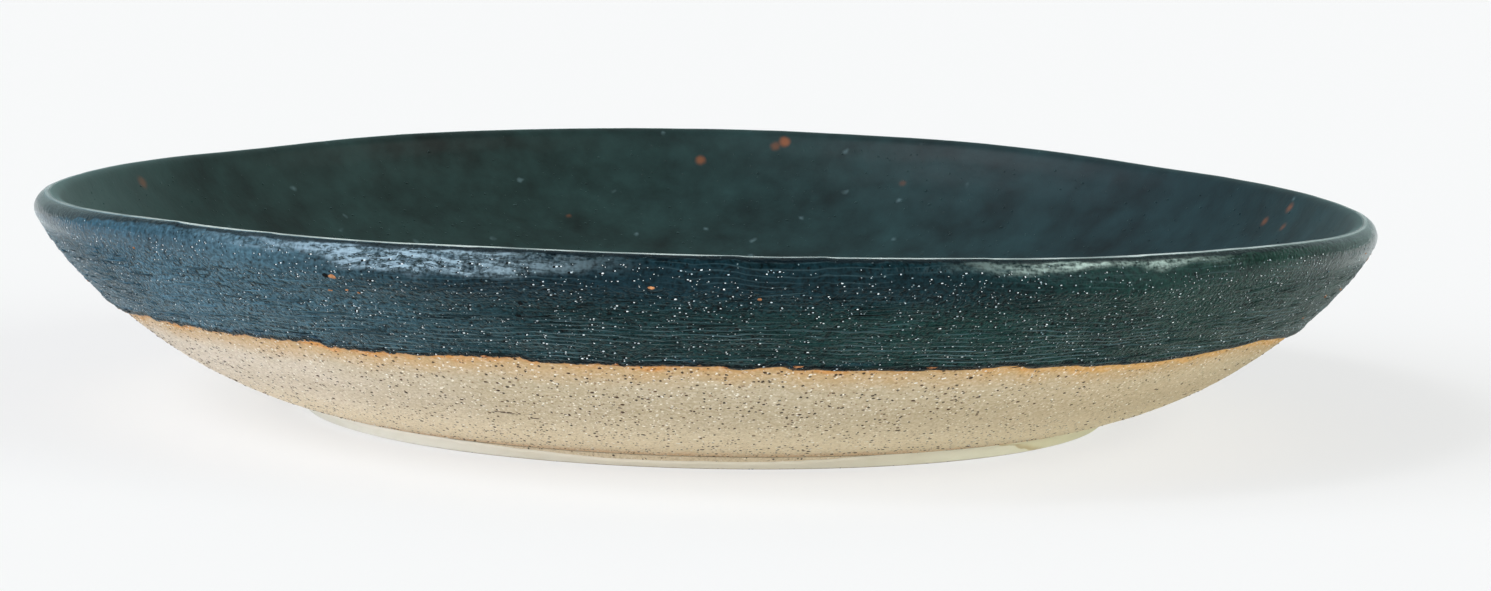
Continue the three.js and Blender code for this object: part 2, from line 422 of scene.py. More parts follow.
def sew(sheets, material):
    """Joins the sheets, closes seams and poles, gives the piece its finish, and ends the tree."""
    tree = sheets[0].tree
    joined = add(tree, "GeometryNodeJoinGeometry")
    for one in reversed(sheets):
        tree.links.new(one.socket, joined.socket.node.inputs[0])
    merged = add(tree, "GeometryNodeMergeByDistance", {"Geometry": joined, "Distance": SEAM})
    real = add(tree, "GeometryNodeRealizeInstances", (add(tree, "GeometryNodeSetShadeSmooth", (merged,)),))
    finished = add(tree, "GeometryNodeSetMaterial", {"Geometry": real, "Material": material})
    add(tree, "NodeGroupOutput", (finished,))


def volume(mesh):
    """The volume that the faces close in, in cm3."""
    mesh.calc_loop_triangles()
    places = [v.co for v in mesh.vertices]
    corners = (t.vertices for t in mesh.loop_triangles)
    return sum(places[a].dot(places[b].cross(places[c])) for a, b, c in corners) / 6 / (10 * MM) ** 3


def make(name, tree, values):
    """Runs a tree with the values, and keeps the result as a plain mesh."""
    piece = bpy.data.objects.new(name, bpy.data.meshes.new(name))
    bpy.context.scene.collection.objects.link(piece)
    modifier = piece.modifiers.new(name, "NODES")
    modifier.node_group = tree
    for item in tree.interface.items_tree:
        if item.in_out == "INPUT" and item.name in values:
            modifier[item.identifier] = values[item.name]
    mesh = bpy.data.meshes.new_from_object(piece.evaluated_get(bpy.context.evaluated_depsgraph_get()))
    piece.modifiers.remove(modifier)
    piece.data = mesh
    mesh.name = name
    print(f"{name}: {volume(mesh):.2f} cm3, {len(mesh.loop_triangles)} triangles")
    return piece


# %% [markdown]
# ## Finishes
# A finish is a few simple layers, each at a size taken from the real thing: tone, streaks, dots and
# relief. `dots` strews round spots over the cells of a Voronoi pattern. `over` lays one colour over
# another, and `paint` joins the layers in one surface. Specular level, refraction and haze are plain
# numbers, because they belong to the stuff and not to the place. Haze is the shader's sheen: a veil that
# glows where one looks along the surface.

# %% Layers for the finishes
GLASS_IOR = 1.5  # a glaze is a glass, and fired clay is close to one
HAZE_TINT, HAZE_ROUGHNESS = "#98c0bc", 0.4


def new_material(name):
    material = bpy.data.materials.new(name)
    material.use_nodes = True
    material.node_tree.nodes.clear()
    return material, material.node_tree


def over(share, under, colour):
    """Lays a colour over another by a share from 0 to 1."""
    return add(share.tree, MIX, {"Factor": share, "A": under, "B": colour}, data_type="RGBA")


def clamped(value):
    return value.math("ADD", 0.0, use_clamp=True)


def dots(place, spacing, radius, share, shift=0.0, soft=0.4, stretch=(1, 1, 1)):
    """Uneven dots, 1 inside and 0 outside, on a share of the cells. Sizes are in mm."""
    tree = place.tree
    scale = [s / spacing for s in stretch]
    moved = add(tree, VECTOR, (place, scale, (shift,) * 3), operation="MULTIPLY_ADD")
    bent = add(tree, "ShaderNodeTexNoise", {"Vector": moved, "Scale": 2.5, "Detail": 1.0})["Color"]
    moved = add(tree, VECTOR, (bent, (0.35,) * 3, moved), operation="MULTIPLY_ADD")
    cell = add(tree, "ShaderNodeTexVoronoi", {"Vector": moved, "Scale": 1.0})
    lot = add(tree, "ShaderNodeSeparateColor", (cell["Color"],))
    near = band(cell["Distance"], radius / spacing, radius / spacing * (1 - soft))
    return near * lot.math("LESS_THAN", share)


def places(tree):
    """What the patterns read, in mm: the unrolled wall, the height above the glaze line, the place, its X."""
    here = add(tree, "ShaderNodeTexCoord")["Object"]
    here = add(tree, VECTOR, {0: here, "Scale": 1 / MM}, operation="SCALE")
    wall_place = add(tree, "ShaderNodeAttribute", attribute_name="wall_mm")["Vector"]
    above = add(tree, "ShaderNodeAttribute", attribute_name="above_line")["Fac"]
    return wall_place, above, here, add(tree, SPLIT, (here,))["X"]


def paint(material, colour, roughness, relief, specular, depth=0.2, tint="#ffffff", haze=0.0):
    """The finished surface. Relief is the sum of the patterns, and depth how many mm it stands for."""
    tree = material.node_tree
    bump = add(tree, "ShaderNodeBump", {"Height": relief, "Distance": depth * MM, "Strength": 1.0})
    inputs = {"Base Color": colour, "Roughness": roughness, "Normal": bump}
    inputs |= {"IOR": GLASS_IOR, "Specular IOR Level": specular, "Specular Tint": tint}
    inputs |= {"Sheen Weight": haze, "Sheen Roughness": HAZE_ROUGHNESS, "Sheen Tint": HAZE_TINT}
    shader = add(tree, "ShaderNodeBsdfPrincipled", inputs)
    add(tree, "ShaderNodeOutputMaterial", {"Surface": shader})
    print(f"{material.name}: {len(tree.nodes)} nodes, relief {depth} mm deep")


# %% [markdown]
# ### Brushed glaze
# The outside was brushed with a wide, soft brush while the pot turned slowly. The glaze stayed as thick
# as it was laid, so the marks of the bristles stand as fine wavy lines, clearest low on the wall, and they
# are painted paler, a painted highlight along the ridges. It is dark blue, with olive patches where it lies
# thin over the iron in the clay. It is paler to the left and green to the right, partly the glaze's own
# change and partly painted light, the tint of the light from each side. Small craters are left by gas, and
# their dark dots are also painted shade. Where one has healed there is a pale bead, painted pale as a
# painted glint.
#
# Toward the crest the glaze has run smoother and shines. In two stretches fingers pressed it thin while
# it was wet. There a pale, streaked blue with dark creases in it is painted: a painted highlight, with
# painted shade in the creases. Elsewhere a dark band is painted under the crest, a painted reflection of
# the dark room. Right on the crest a pale line is painted, partly the glaze breaking on the sharp edge
# and partly a painted highlight. Its lower edge is a rolled toe with its shadow painted dark along it,
# and where the last strokes skipped, bites of flashed clay show through.
#
# To the eye it is a satin blue with a fine horizontal grain, and its veil of tiny crystals glows
# grey-green at both ends. Real bristles leave lines 0.6 to 1 mm apart, and the skin's orange peel is half
# a millimetre across. They are drawn 1.15 and 0.9 mm apart here, so that they still show.

# %% Where the glaze is thin, thick and marked
OUT_OF_SIGHT = [(10, 0.6, 24), (60, 0.8, 30), (120, 0.6, 20), (170, 0.7, 18)]
FINGERS = [(246, 1.0, 22), (303, 0.8, 18), *OUT_OF_SIGHT]
# Where the pale streaks below the lip are painted, a painted highlight: (middle, strength, width) in degrees.
LIP_HIGHLIGHTS = [(246, 1.2, 21), (302, 1.2, 16), *OUT_OF_SIGHT]
HIGHLIGHT_REACH, HIGHLIGHT_REACH_SWELLS = 4.1, [(250, 2.4, 14), (300, -0.8, 24)]
# How wide the painted dark band under the crest is, in mm, and where it swells: a painted reflection of the
# dark room.
DARK_BAND_WIDTH, DARK_BAND_SWELLS = 1.7, [(196, 2.2, 20), (214, 0.5, 14), (30, 1.0, 20), (90, 1.2, 25)]
BRISTLE_PITCH = 1.15  # mm


def scaled(colour, factor):
    """A colour made lighter or darker."""
    return add(colour.tree, VECTOR, {0: colour, "Scale": factor}, operation="SCALE")


def crest_highlight(here, side, at_the_ends):
    """Where the pale crest line is painted, 0 to 1, partly glaze run off the crest and partly a painted
    highlight: less in some places, and least at the two ends.
    """
    uneven = band(noise(here, 12, detail=3, shift=71), -0.2, 0.1, 0.35, 1.0)
    return uneven * band(abs(side), 135, 95, at_the_ends, 1.0)


# %% Brushed glaze
def brushed_glaze(name, roughness, specular):
    material, tree = new_material(name)
    wall_place, above, here, side = places(tree)
    corner = add(tree, SPLIT, (wall_place,))
    from_crest = outside_length - corner["Z"]
    degrees = corner["Y"].math("ARCTAN2", corner["X"]) * math.degrees(1)
    drift = add(tree, JOIN, {"Z": noise(wall_place, 30, detail=1, shift=21) * 6.0})
    brushed = add(tree, VECTOR, (wall_place, drift), operation="ADD")

    # What the brush and the gas left: long and short streaks, bristle lines, the skin, craters and beads.
    tone = noise(wall_place, 30, (1, 1, 2), detail=3)
    streak = noise(brushed, 15, (1, 1, 10), detail=4, roughness=0.62)
    fine = noise(brushed, 6, (1, 1, 9), detail=3, roughness=0.6, shift=3)
    wave = noise(wall_place, 24, (1, 1, 2.5), detail=3, roughness=0.55, shift=46) * 24.0
    hairs = band((corner["Z"] * (2 * math.pi / BRISTLE_PITCH) + wave).math("SINE"), 0.6, 0.98)
    low = band(above, 16, 6, 0.15, 1.0) * band(side, -125, -40, 0.4, 1.0)
    where_marked = band(noise(wall_place, 18, (1, 1, 2.5), detail=3, shift=33), -0.12, 0.1, 0.1, 1.0) * low
    bristles = hairs * where_marked
    skin = noise(wall_place, 0.9, (1, 1, 1.2), detail=1, roughness=0.7, shift=8)
    pits = dots(wall_place, 1.3, 0.26, 0.4, shift=4)
    beads = dots(wall_place, 1.1, 0.22, 0.3, shift=9, soft=0.5)

    # The blue itself, from end to end. Paler to the left and greener to the right is partly the glaze's own
    # change and partly painted light, the tint of the light from each side.
    base = over(band(side, -60, 60), "#0f2529", "#0d2623")
    base = over(band(side, -20, -138), base, "#405b69")
    base = over(band(side, -95, -135) * 0.9, base, "#0b3142")
    base = over(band(side, 60, 138), base, "#132820")
    base = over(band(from_crest, 15, 8) * band(abs(side), 80, 40) * 0.6, base, "#0d1e29")
    streaks = streak * band(side, -110, -40, 0.15, 0.4) + fine * 0.3
    shade = tone * 0.8 + streaks + skin * band(from_crest, 5, 11, 1.3, 2.5)
    colour = scaled(base, clamped(shade + 0.5) * 2.0)
    olive = band(noise(wall_place, 19, (1, 1, 3), detail=4, shift=17), 0.12, 0.32, 0.0, 0.3)
    colour = over(olive, colour, "#10150d")
    # The bristle lines are painted paler: a painted highlight along the ridges.
    colour = over(bristles * 0.5, colour, "#7797a0")
    # Dark dots: pits, their darkness partly painted shade beside the small lumps.
    colour = over(pits * 0.85, colour, "#020507")
    # Pale dots: healed beads, painted pale as painted glints.
    colour = over(beads * 0.45, colour, "#a5bec4")
    blue_toe = band(above, 3.5, 1.0) * band(noise(wall_place, 11, (1, 1, 3), detail=2, shift=61), 0.0, 0.2)
    colour = over(blue_toe * 0.5, colour, "#22486b")

    # Below the lip, where fingers pressed: pale streaks painted as a painted highlight, and painted shade in
    # the dark creases.
    wrinkle = noise(brushed, 6.5, (1, 1, 6), detail=4, roughness=0.7, shift=77)
    lip_highlight = swells(degrees, LIP_HIGHLIGHTS) * band(from_crest, 1.2, 2.0)
    depth = noise(brushed, 16, (1, 1, 3), detail=3, shift=81) * 6.0
    depth = depth + swells(degrees, HIGHLIGHT_REACH_SWELLS) + HIGHLIGHT_REACH
    lip_highlight = lip_highlight * band(from_crest - depth, 0.7, -1.0)
    streaked = band(wrinkle + skin * 0.5, -0.22, 0.2, 0.0, 1.0)
    colour = over(lip_highlight * streaked * 0.85, colour, over(band(side, -60, 60), "#8da4b2", "#adc0b9"))
    # The dark creases are painted shade, over a real dent in the relief.
    creased = band(abs(wrinkle + 0.03), 0.018, 0.006) * lip_highlight * band(side, 40, -20, 0.3, 1.0)
    colour = over(creased * 0.85, colour, "#050d13")
    pressed = swells(degrees, FINGERS) * band(from_crest, 1.6, 2.6) * band(from_crest, 7.0, 5.0)

    # The painted dark band under the crest, the toe's painted shadow, the bites of bare clay, and the pale
    # crest line, partly a painted highlight.
    width = swells(degrees, DARK_BAND_SWELLS) + noise(here, 6, shift=5) * 2.2 + DARK_BAND_WIDTH
    # A dark band painted under the crest: a painted reflection of the dark room.
    dark_reflection_band = band(from_crest - width, 0.4, 0.0) * band(from_crest, 0.8, 1.1)
    colour = over(dark_reflection_band * 0.8, colour, "#050d13")
    ragged = above + noise(wall_place, 1.6, detail=3, roughness=0.7, shift=25) * 2.0
    # A dark line painted along the toe: a painted shadow under its rolled edge.
    colour = over(band(ragged, 2.2, 1.5) * 0.95, colour, "#03070a")
    colour = over(band(ragged, 0.9, 0.7) * band(side, 10, -40, 0.15, 1.0), colour, "#c08a55")
    # The pale line on the crest: partly the glaze breaking on the edge, partly a painted highlight.
    colour = over(band(from_crest, 0.8, 0.5) * crest_highlight(here, side, 0.25), colour, "#e6efec")

    shine = band(from_crest, 9.0, 6.0)
    relief = streak * band(side, -110, -40, 0.5, 1.0) + fine * 0.5 + bristles * 0.8
    relief = relief + skin * 2.0 + beads * 0.8 - pits
    relief = relief * (1.0 - shine * 0.7) + wrinkle * pressed * 2.5 - creased
    uneven = tone * 0.1 + roughness - shine * 0.22
    paint(material, colour, uneven, relief, specular, depth=0.3, tint="#c4e0ee", haze=0.16)
    return material


outside_finish = brushed_glaze("brushed_blue_glaze", 0.36, 0.12)

# %% [markdown]
# ### Poured glaze
# The inside was filled with glaze and emptied again. The coat is smoother, darker and less blue, and it
# clouds softly over some centimetres, greener to the left and bluer to the right. To the eye it is nearly
# matt, like wet slate. Grains of iron under it have burned through as soft rust spots. Eight of them are
# large enough to have a place of their own, and the rest are strewn.

# %% Poured glaze
BURNED_THROUGH = [  # where a rust spot is (X, Y and Z) and how far it spreads, in mm, and how strong it is
    ((19.4, 142.2, 48.4), 2.0, 0.6),
    ((16.8, 141.9, 47.3), 1.8, 0.3),
    ((-2.5, 140.2, 43.4), 1.9, 0.45),
    ((-133.5, 48.1, 42.9), 2.4, 0.35),
    ((136.3, 39.6, 44.1), 2.2, 0.45),
    ((134.3, 36.0, 39.9), 1.8, 0.3),
    ((131.4, 46.1, 40.2), 1.8, 0.35),
    ((49.6, 128.3, 39.7), 1.6, 0.2),
]


def poured_glaze(name, roughness, specular):
    material, tree = new_material(name)
    wall_place, _, here, side = places(tree)
    tone = noise(here, 34, detail=4, roughness=0.6)
    blotch = noise(here, 8, detail=4, roughness=0.6, shift=5)
    skin = noise(here, 1.4, detail=2, roughness=0.6, shift=8)
    to_right = band(side, -60, 120)
    deep = over(to_right, "#06110f", "#051217")
    pale = over(to_right, "#233b39", "#1c373c")
    colour = over(clamped(tone * 1.3 + blotch * 1.2 + 0.45), deep, pale)
    # Paler grey-green at the far left of the inside: painted light.
    colour = over(band(side, -120, -142) * 0.2, colour, "#5f7f7e")
    rust = dots(here, 8.5, 1.5, 0.05, shift=2, soft=1.0) * 0.3
    for spot, spread, strength in BURNED_THROUGH:
        away = add(tree, VECTOR, (here, spot), operation="DISTANCE") + blotch * 3.0
        rust = rust.math("MAXIMUM", band(away, spread, 0.2) * strength)
    colour = over(rust, colour, "#8f5230")
    colour = over(dots(here, 6.0, 1.1, 0.2, shift=15, soft=1.0) * 0.25, colour, "#7f9aa0")
    beads = dots(here, 2.2, 0.36, 0.35, shift=9, soft=1.0)
    from_crest = add(tree, SPLIT, (wall_place,))["Z"]
    # The pale line on the crest: partly the glaze breaking on the edge, partly a painted highlight.
    colour = over(band(from_crest, 0.4, 0.15) * crest_highlight(here, side, 0.15), colour, "#e6efec")
    relief = blotch * 0.4 + skin * 0.25 + beads * 0.6
    paint(material, colour, tone * 0.1 + roughness, relief, specular, haze=0.2)
    return material


liner_finish = poured_glaze("poured_liner_glaze", 0.5, 0.2)

# %% [markdown]
# ### Speckled clay
# The bare clay is a sandy buff stoneware, wiped with a wet sponge while it turned. That washes out the
# fine clay and leaves the grit: dark grains of iron, white grains of crushed fired clay, and short drag
# marks beside them. To the eye it is dry and matt, like biscuit, and no part of it shines.
#
# Under the glaze's edge it has flashed orange, because the salts of the wet glaze were drawn into the
# clay there and came out in the fire. The flash has two parts: a narrow bright line, and a wide soft one
# that frays downward. To the right it is broad and golden. Toward the foot the clay is painted paler,
# painted light that makes up for the shade near the table, and it is rosy where it meets the slip. The
# sand itself is 0.1 to 0.3 mm across, too fine for the picture, so it is drawn about 1 mm across and
# fainter.

# %% Speckled clay
speckled_clay, tree = new_material("speckled_stoneware")
wall_place, above, _, side = places(tree)
along = abs(add(tree, SPLIT, (wall_place,))["Z"])  # far from 0 on the underside, which has no pale foot
tone = noise(wall_place, 20, (1, 1, 2), detail=4, roughness=0.6)
grain = noise(wall_place, 0.95, (1, 1, 1.3), detail=1, roughness=0.8)
scratch = noise(wall_place, 4, (1, 1, 9), detail=4, roughness=0.7, shift=6)

# The clay, from end to end and from the foot up, then the flash under the glaze.
buff = over(band(side, -110, -30), "#e4d8ca", "#c4b69d")
buff = over(band(side, 10, 110), buff, "#dcc7a5")
colour = over(clamped(tone * 1.1 + 0.3), buff, "#bcac8c")
# Paler toward the foot: painted light that makes up for the shade near the table.
colour = over(band(along, 32.0, 7.0, 0.0, 0.9), colour, "#fdedcf")
colour = over(band(scratch, 0.05, 0.28, 0.0, 0.4), colour, "#a5957a")
frayed = above + noise(wall_place, 8, (1, 1, 1.6), detail=4, shift=31) * 6.0
colour = over(band(frayed, -9.0, -0.5, 0.0, 0.75), colour, "#cba26a")
flashed = band(noise(wall_place, 7, detail=3, shift=52), -0.12, 0.12, 0.25, 1.0)
colour = over(band(frayed, -2.0, 0.2, 0.0, 0.9) * flashed, colour, "#da964c")
golden = band(above + noise(wall_place, 6, detail=3, shift=58) * 5.0, -3.4, -1.4) * band(side, 45, 80)
colour = over(golden * 0.75, colour, "#e3ac60")
flush = along + noise(wall_place, 9, detail=3, shift=44) * 6.0
colour = over(band(flush, 7.5, 0.5, 0.0, 0.6), colour, "#e9bb8a")

# The grit. On the right the sponge has covered more of it.
fewer = band(side, 30, 95, 1.0, 0.45)
dark = dots(wall_place, 1.5, 0.36, 0.34, shift=1, soft=0.1) * fewer
brown = dots(wall_place, 1.3, 0.3, 0.4, shift=7, soft=0.3) * fewer
white = dots(wall_place, 1.2, 0.3, 0.42, shift=13, soft=0.2)
colour = over(clamped(grain * 2.5) * 0.45, colour, "#8d7857")
colour = over(clamped(grain * -2.5) * 0.45, colour, "#fff6e6")
colour = over(white * 0.8, colour, "#fff8ea")
colour = over(brown * 0.6, colour, "#8a6240")
colour = over(dark * 0.9, colour, "#2e2019")
relief = scratch * 0.5 + grain * 0.9 + white * 0.4 - dark * 0.6 - brown * 0.6
paint(speckled_clay, colour, tone * 0.1 + 0.88, relief, 0.25, depth=0.25)

# %% [markdown]
# ### Pale slip
# Slip is liquid clay. A band of a finer, whiter one was brushed round the foot, so that the platter
# stands on something smooth. To the eye it is a soft, waxy ivory without any grit. It is yellower to the
# right, where a second stroke laps over the first with a curved, browner edge, and a little worn where it
# has stood.

# %% Pale slip
SECOND_STROKE, STROKE_EDGE = 70.0, 5.0  # mm to the right of the middle, and how wide its brown edge is

cream_slip, tree = new_material("cream_slip")
wall_place, _, here, side = places(tree)
along = add(tree, SPLIT, (wall_place,))["Z"]
tone = noise(wall_place, 12, (1, 1, 3), detail=3)
streak = noise(wall_place, 6, (1, 1, 8), detail=3)
colour = over(band(side, -80, -15), "#fffcf0", "#f6f1e2")
colour = over(band(side, 15, 75), colour, "#fffbe8")
colour = over(clamped(tone * 0.9 + 0.05), colour, "#e6dfc8")
lap = side + along * 1.6 + noise(wall_place, 5, detail=2) * 3.0
in_front = band(add(tree, SPLIT, (here,))["Y"], 0.0, -20.0)
second = band(lap, SECOND_STROKE, SECOND_STROKE + 1) * in_front
colour = over(second * 0.5, colour, "#f2eac0")
colour = over(second * band(lap, SECOND_STROKE + STROKE_EDGE, SECOND_STROKE + 1) * 0.6, colour, "#c2a66c")
worn = dots(here, 9, 1.3, 0.2, shift=3, stretch=(0.5, 1, 3))
colour = over(worn * 0.4, colour, "#a59a6c")
paint(cream_slip, colour, tone * 0.1 + 0.5, streak + tone * 0.5, 0.35, depth=0.1)

# %% [markdown]
# ### Grains, flecks and pinholes
# What sits in the surface is either stone or a hole. Iron grains are nearly black and matt. Fired-clay
# grains are white and angular. A grain under the glaze lifts it, the glaze runs off the top and shows
# pale and glossy there, and the pale top is painted near white as a painted glint. Beside it a dark spot
# is put, partly a hole so deep that no light comes back out and partly the lump's painted shade. Rust
# flecks are iron that reached the surface.

# %% Grains, flecks and pinholes
def stone(name, dark_code, light_code, roughness, specular=0.3, size=0.9, paler=0.5):
    """A stone's or a hole's surface: two colours in patches of a size in mm."""
    material, tree = new_material(name)
    here = places(tree)[2]
    colour = over(clamped(noise(here, size, detail=2) * 2.2 + paler), dark_code, light_code)
    paint(material, colour, noise(here, 0.5) * 0.1 + roughness, noise(here, 0.2), specular, depth=0.05)
    return material


# Iron is nearly black, and rusty at its edges. Fired clay is chalk white. A rust fleck is a dry orange. A
# lump under thin glaze is wet, and its near-white colour is a painted glint. The pinholes' near-black is
# also the painted shade beside each lump and beside the chip.
iron_finish = stone("iron_grain", "#1a110c", "#5f3f28", 0.65)
grog_finish = stone("fired_clay_grain", "#f1e6cf", "#fffdf6", 0.55)
rust_finish = stone("rust_fleck", "#5c3015", "#c98d5c", 0.6)
lump_glint_finish = stone("thin_glaze_and_painted_glint", "#587f90", "#f8fdff", 0.15, 1.0, 1.6, 0.62)
pinhole_and_shade_finish = stone("pinhole_and_painted_shade", "#020405", "#0b1114", 0.8, 0.1)

# %% [markdown]
# ## The clay
# The body is thrown in one piece: outside, inside and the flat under it. Three sheets are sewn at the
# crest and at the foot. The rows on the outside follow the glaze line, so that the bare clay below it
# gets nearly all of them. There the wet sponge left turning marks and drags, which sink away under the
# glaze and at the foot.

# %% Throw the clay body
def set_up(name, extra=()):
    """A tree for a piece made of turned sheets, and its usual inputs."""
    kinds = {"Rib": "Object", "Columns": "Int", "Rows": "Int", "Finish": "Material", **dict(extra)}
    tree, given = new_tree(name, kinds)
    share, angle = unrolled(tree)
    edge = add(tree, "GeometryNodeGroup", {"Angle": angle}, node_tree=glaze_line)
    return tree, given, share, angle, edge


INSIDE_ROWS, UNDER_ROWS = 28, 44  # the liner's back has the same rows as the clay inside
BARE_MARGIN = 1.6  # mm of finely rowed clay above the glaze line
UNDERSIDE = 200.0  # mm, how far below the wall the patterns take the underside to be

extra = {"Inner rib": "Object", "Under rib": "Object", "Hidden rows": "Int", "Marks": "Float"}
tree, given, share, angle, edge = set_up("clay_wall", extra)

# Rows go closely up to the glaze line and a little past it, and the hidden ones on to the crest.
bare_share = given["Rows"].math("DIVIDE", given["Rows"] + given["Hidden rows"])
bare_end = edge + BARE_MARGIN
climb = share.math("DIVIDE", bare_share).math("MINIMUM", 1.0)
hidden = (share - bare_share).math("DIVIDE", 1.0 - bare_share).math("MAXIMUM", 0.0)
along = climb * bare_end + hidden * (outside_length - bare_end)

# What the sponge left where the clay shows, and faint turning rings in the recess under the foot.
place = round_the_wall(angle, along)
showing = band(along - edge, 0.4, -0.3) * band(along, 0.0, 2.0)
turning = noise(place, 30, (1, 1, 14), detail=3, roughness=0.6)
drag = noise(place, 9, (1, 1, 7), detail=3, roughness=0.6, shift=12)
marks = (turning * 0.3 + drag * 0.16 - 0.04) * showing * given["Marks"]
under = share * under_length
rings = noise(add(tree, JOIN, {"Z": under}), 4.5) * 0.5 - 0.15
rings = rings * band(under, under_length - 12, under_length - 16) * band(under, 0.0, 2.0)
below = under + UNDERSIDE

outside = sheet(given["Rib"], given["Rows"] + given["Hidden rows"] + 1, given["Columns"], along, marks)
inside = sheet(given["Inner rib"], INSIDE_ROWS, given["Columns"], share * inside_length, 0.0)
beneath = sheet(given["Under rib"], UNDER_ROWS, given["Columns"], under, rings, radius=under, below=below)
sew([outside, inside, beneath], given["Finish"])
clay_wall = make(
    "clay_wall",
    tree,
    {
        "Rib": outside_rib,
        "Inner rib": inside_rib,
        "Under rib": under_rib,
        "Columns": 721,
        "Rows": 58,
        "Hidden rows": 9,
        "Marks": 1.0,
        "Finish": speckled_clay,
    },
)

# %% [markdown]
# ## The brushed coat
# The coat starts at the glaze line with a rolled toe, half a millimetre high, where surface tension held
# it back. Behind it the glaze has gathered in a low bead. Above that the bristles have left ridges,
# deeper in some strokes than in others. Below the lip there is a band that the fingers pressed and
# dragged, which catches the light there in patches; the bright patches are also painted into the glaze's
# colour as a painted highlight. The inner side of the coat is the clay's own surface, and the two meet at
# the crest.

# %% Brush the outside
BACK_ROWS, CREST_ROWS = 6, 2  # of the side that lies on the clay, and of the step at the crest

extra = {"Coat": "Float", "Bead": "Float", "Bristles": "Float"}
tree, given, share, angle, edge = set_up("brushed_coat", extra)

# Rows lie closest at the glaze line, where the toe is rolled and the bead lies behind it.
climb = share**1.3 * (outside_length - edge)
along = climb + edge
place = round_the_wall(angle, along)
toe = band(climb, 0.0, 0.45)
bead = band(climb, 0.1, 0.7) * band(climb, 3.2, 0.9) * (noise(place, 6) * 0.8 + 0.9) * given["Bead"]

# What the bristles left, in strokes that bend.
bent = round_the_wall(angle, noise(place, 30, (1, 1, 1.5), shift=21) * 5.0 + along)
strokes = band(noise(place, 26, (1, 1, 1.5), detail=1, shift=33), -0.1, 0.12, 0.35, 1.0)
bristles = noise(bent, 17, (1, 1, 10), detail=3, roughness=0.62) * strokes * given["Bristles"]
lumps = noise(place, 7, (1, 1, 1.2), shift=55) * 0.45

# Below the lip: creases where fingers pressed, and a fat fold under them. The bristle marks are calmer there.
from_crest = outside_length - along
pressed = band(from_crest, 1.6, 3.4) * band(from_crest, 12.0, 6.0)
creases = noise(bent, 18, (1, 1, 8), detail=3, roughness=0.6, shift=77) * 0.5 * pressed
fat = swells(angle * math.degrees(1), FINGERS) * band(from_crest, 3.4, 7.0)
fat = fat * band(from_crest, 15.0, 7.0) * 1.45
calm = 1.0 - band(from_crest, 11.0, 7.0) * 0.8

marks = ((bristles + lumps) * calm + creases + fat - 0.06) * band(from_crest, 0.0, 2.0) * toe
outer = sheet(given["Rib"], given["Rows"], given["Columns"], along, toe * given["Coat"] + bead + marks)
behind = share * (outside_length - edge) + edge
inner = sheet(given["Rib"], BACK_ROWS, given["Columns"], behind, 0.0, flip=True)
crest = sheet(given["Rib"], CREST_ROWS, given["Columns"], outside_length, share * given["Coat"], flip=True)
sew([outer, inner, crest], given["Finish"])
outside_coat = make(
    "outside_glaze_coat",
    tree,
    {
        "Rib": outside_rib,
        "Columns": 1441,
        "Rows": 60,
        "Coat": GLAZE / MM,
        "Bead": 0.3,
        "Bristles": 0.85,
        "Finish": outside_finish,
    },
)

# %% [markdown]
# ## The poured coat
# The liner goes from the crest to the middle of the floor. It keeps the throwing rings of the clay as
# soft waves, and lies in slow lumps where it ran together. At the middle the rows shrink to one point,
# and the points there are merged, so that the coat closes.

# %% Pour the inside
tree, given, share, angle, _ = set_up("poured_coat", {"Coat": "Float"})

# Rows lie closest at the crest. The throwing rings sway, and the glaze settles smoothly at both ends.
along = share**1.35 * inside_length
spread = round_the_wall(angle, 0.0, inside_length - along)
rings = noise(add(tree, JOIN, {"Z": noise(spread, 60) * 8.0 + along}), 5, detail=1)
lumps = noise(spread, 9, shift=55)
settled = band(along, 0.0, 5.0) * band(along, inside_length, inside_length - 6)
thick = (rings * 0.35 + lumps * 0.3 - 0.02) * settled + given["Coat"]
outer = sheet(given["Rib"], given["Rows"], given["Columns"], along, thick)
inner = sheet(given["Rib"], INSIDE_ROWS, given["Columns"], share * inside_length, 0.0, flip=True)
crest = sheet(given["Rib"], CREST_ROWS, given["Columns"], 0.0, share * given["Coat"])
sew([outer, inner, crest], given["Finish"])
liner_coat = make(
    "liner_glaze_coat",
    tree,
    {"Rib": inside_rib, "Columns": 721, "Rows": 100, "Coat": GLAZE / MM, "Finish": liner_finish},
)

# %% [markdown]
# ## The foot and its slip
# The foot ring is turned when the clay is leather-hard. It is a ring of nearly triangular section that
# leans in to the ground, and its two lower edges are rounded with a wet finger. The slip covers its
# outside and goes a few millimetres up the wall, less in some places and more in others. Its own
# thickness eases to nothing at both edges.

# %% Turn the foot
FOOT_FLARE, CONTACT_WIDTH, ROUNDING = 3 * MM, 6 * MM, 0.5 * MM
contact_outer = Vector((FOOT_RADIUS - FOOT_FLARE, 0, 0))
contact_inner = contact_outer - Vector((CONTACT_WIDTH, 0, 0))
ring_points = (
    [recess_corner]
    + arc(contact_inner + Vector((0.9, 0, 1)) * ROUNDING, ROUNDING, 205, 270, 6)
    + arc(contact_outer + Vector((-0.6, 0, 1)) * ROUNDING, ROUNDING, 270, 315, 6)
    + [wall_foot, recess_corner]
)
ring_rib, ring_length = rib("ring_rib", ring_points)
tree, given, share, _, _ = set_up("turned_foot")
sew([sheet(given["Rib"], given["Rows"], given["Columns"], share * ring_length, 0.0)], given["Finish"])
foot = make("turned_foot", tree, {"Rib": ring_rib, "Columns": 721, "Rows": 64, "Finish": speckled_clay})

